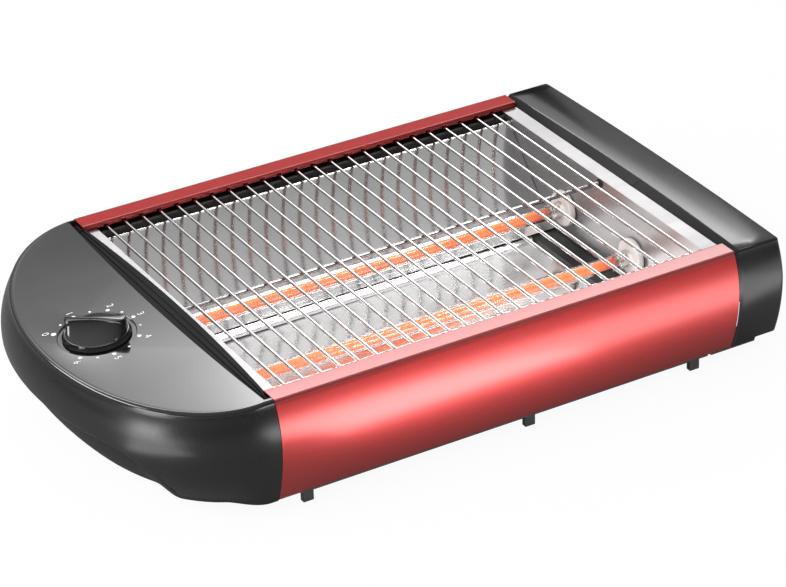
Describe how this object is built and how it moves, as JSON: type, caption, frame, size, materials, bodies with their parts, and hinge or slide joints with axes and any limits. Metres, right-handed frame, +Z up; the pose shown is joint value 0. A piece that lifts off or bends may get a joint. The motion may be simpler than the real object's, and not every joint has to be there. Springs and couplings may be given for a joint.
{
  "type": "flat toaster",
  "caption": "Flat electric toaster: a low sheet metal body with a wire grill over quartz tubes, and a rounded control housing with a timer knob and a finger grip.",
  "frame": {"origin": "middle of the footprint, on the plane of the feet", "axes": "+X from the control housing to the end cap, along the tubes; +Y to the rear; +Z up"},
  "size_m": [0.3774, 0.2308, 0.0752],
  "materials": {
    "base_plate": "dark coated sheet steel",
    "bezel_trim": "gloss black",
    "control_base": "satin black",
    "control_housing": "gloss black",
    "cord_bushing": "dark rubber",
    "crumb_tray": "polished sheet",
    "crumb_tray_pull": "satin black",
    "end_cap": "gloss black",
    "foot_1": "dark grey rubber",
    "foot_2": "dark grey rubber",
    "foot_3": "dark grey rubber",
    "foot_4": "dark grey rubber",
    "foot_5": "dark grey rubber",
    "foot_6": "dark grey rubber",
    "front_heating_coil": "glowing resistance winding",
    "front_left_ceramic": "unglazed white ceramic",
    "front_panel": "metallic red lacquer",
    "front_quartz_tube": "clear quartz",
    "front_reflector": "polished sheet",
    "front_right_ceramic": "unglazed white ceramic",
    "front_tube_lead": "woven glass sleeve",
    "grill_support_rod": "bright plated wire",
    "grill_wire_01": "bright plated wire",
    "grill_wire_02": "bright plated wire",
    "grill_wire_03": "bright plated wire",
    "grill_wire_04": "bright plated wire",
    "grill_wire_05": "bright plated wire",
    "grill_wire_06": "bright plated wire",
    "grill_wire_07": "bright plated wire",
    "grill_wire_08": "bright plated wire",
    "grill_wire_09": "bright plated wire",
    "grill_wire_10": "bright plated wire",
    "grill_wire_11": "bright plated wire",
    "grill_wire_12": "bright plated wire",
    "grill_wire_13": "bright plated wire",
    "grill_wire_14": "bright plated wire",
    "grill_wire_15": "bright plated wire",
    "grill_wire_16": "bright plated wire",
    "grill_wire_17": "bright plated wire",
    "grill_wire_18": "bright plated wire",
    "grill_wire_19": "bright plated wire",
    "grill_wire_20": "bright plated wire",
    "grill_wire_21": "bright plated wire",
    "grill_wire_22": "bright plated wire",
    "grill_wire_23": "bright plated wire",
    "grill_wire_24": "bright plated wire",
    "left_end_plate": "polished sheet",
    "rear_heating_coil": "glowing resistance winding",
    "rear_left_ceramic": "unglazed white ceramic",
    "rear_panel": "metallic red lacquer",
    "rear_quartz_tube": "clear quartz",
    "rear_reflector": "polished sheet",
    "rear_right_ceramic": "unglazed white ceramic",
    "rear_tube_lead": "woven glass sleeve",
    "right_end_plate": "polished sheet",
    "terminal_block": "white moulding",
    "timer_body": "white moulding",
    "timer_knob": "gloss black",
    "timer_shaft": "zinc plated",
    "tube_link_lead": "woven glass sleeve"
  },
  "bodies": {
    "body": {"base_plate": "base_plate", "bezel_trim": "bezel_trim", "control_base": "control_base", "control_housing": "control_housing", "cord_bushing": "cord_bushing", "end_cap": "end_cap", "foot_1": "foot_1", "foot_2": "foot_2", "foot_3": "foot_3", "foot_4": "foot_4", "foot_5": "foot_5", "foot_6": "foot_6", "front_heating_coil": "front_heating_coil", "front_left_ceramic": "front_left_ceramic", "front_panel": "front_panel", "front_quartz_tube": "front_quartz_tube", "front_reflector": "front_reflector", "front_right_ceramic": "front_right_ceramic", "front_tube_lead": "front_tube_lead", "grill_support_rod": "grill_support_rod", "grill_wire_01": "grill_wire_01", "grill_wire_02": "grill_wire_02", "grill_wire_03": "grill_wire_03", "grill_wire_04": "grill_wire_04", "grill_wire_05": "grill_wire_05", "grill_wire_06": "grill_wire_06", "grill_wire_07": "grill_wire_07", "grill_wire_08": "grill_wire_08", "grill_wire_09": "grill_wire_09", "grill_wire_10": "grill_wire_10", "grill_wire_11": "grill_wire_11", "grill_wire_12": "grill_wire_12", "grill_wire_13": "grill_wire_13", "grill_wire_14": "grill_wire_14", "grill_wire_15": "grill_wire_15", "grill_wire_16": "grill_wire_16", "grill_wire_17": "grill_wire_17", "grill_wire_18": "grill_wire_18", "grill_wire_19": "grill_wire_19", "grill_wire_20": "grill_wire_20", "grill_wire_21": "grill_wire_21", "grill_wire_22": "grill_wire_22", "grill_wire_23": "grill_wire_23", "grill_wire_24": "grill_wire_24", "left_end_plate": "left_end_plate", "rear_heating_coil": "rear_heating_coil", "rear_left_ceramic": "rear_left_ceramic", "rear_panel": "rear_panel", "rear_quartz_tube": "rear_quartz_tube", "rear_reflector": "rear_reflector", "rear_right_ceramic": "rear_right_ceramic", "rear_tube_lead": "rear_tube_lead", "right_end_plate": "right_end_plate", "terminal_block": "terminal_block", "timer_body": "timer_body", "tube_link_lead": "tube_link_lead"},
    "knob": {"timer_knob": "timer_knob", "timer_shaft": "timer_shaft"},
    "tray": {"crumb_tray": "crumb_tray", "crumb_tray_pull": "crumb_tray_pull"}
  },
  "joints": [
    {"name": "timer_turn", "type": "hinge", "parent": "body", "child": "knob", "pos_m": [-0.1527, -0.0018, 0.06425], "axis": [-0.0733, 0, 0.9973], "range_deg": [-281, 0]},
    {"name": "crumb_tray_slide", "type": "slide", "parent": "body", "child": "tray", "axis": [1, 0, 0], "range_m": [0, 0.22]}
  ]
}
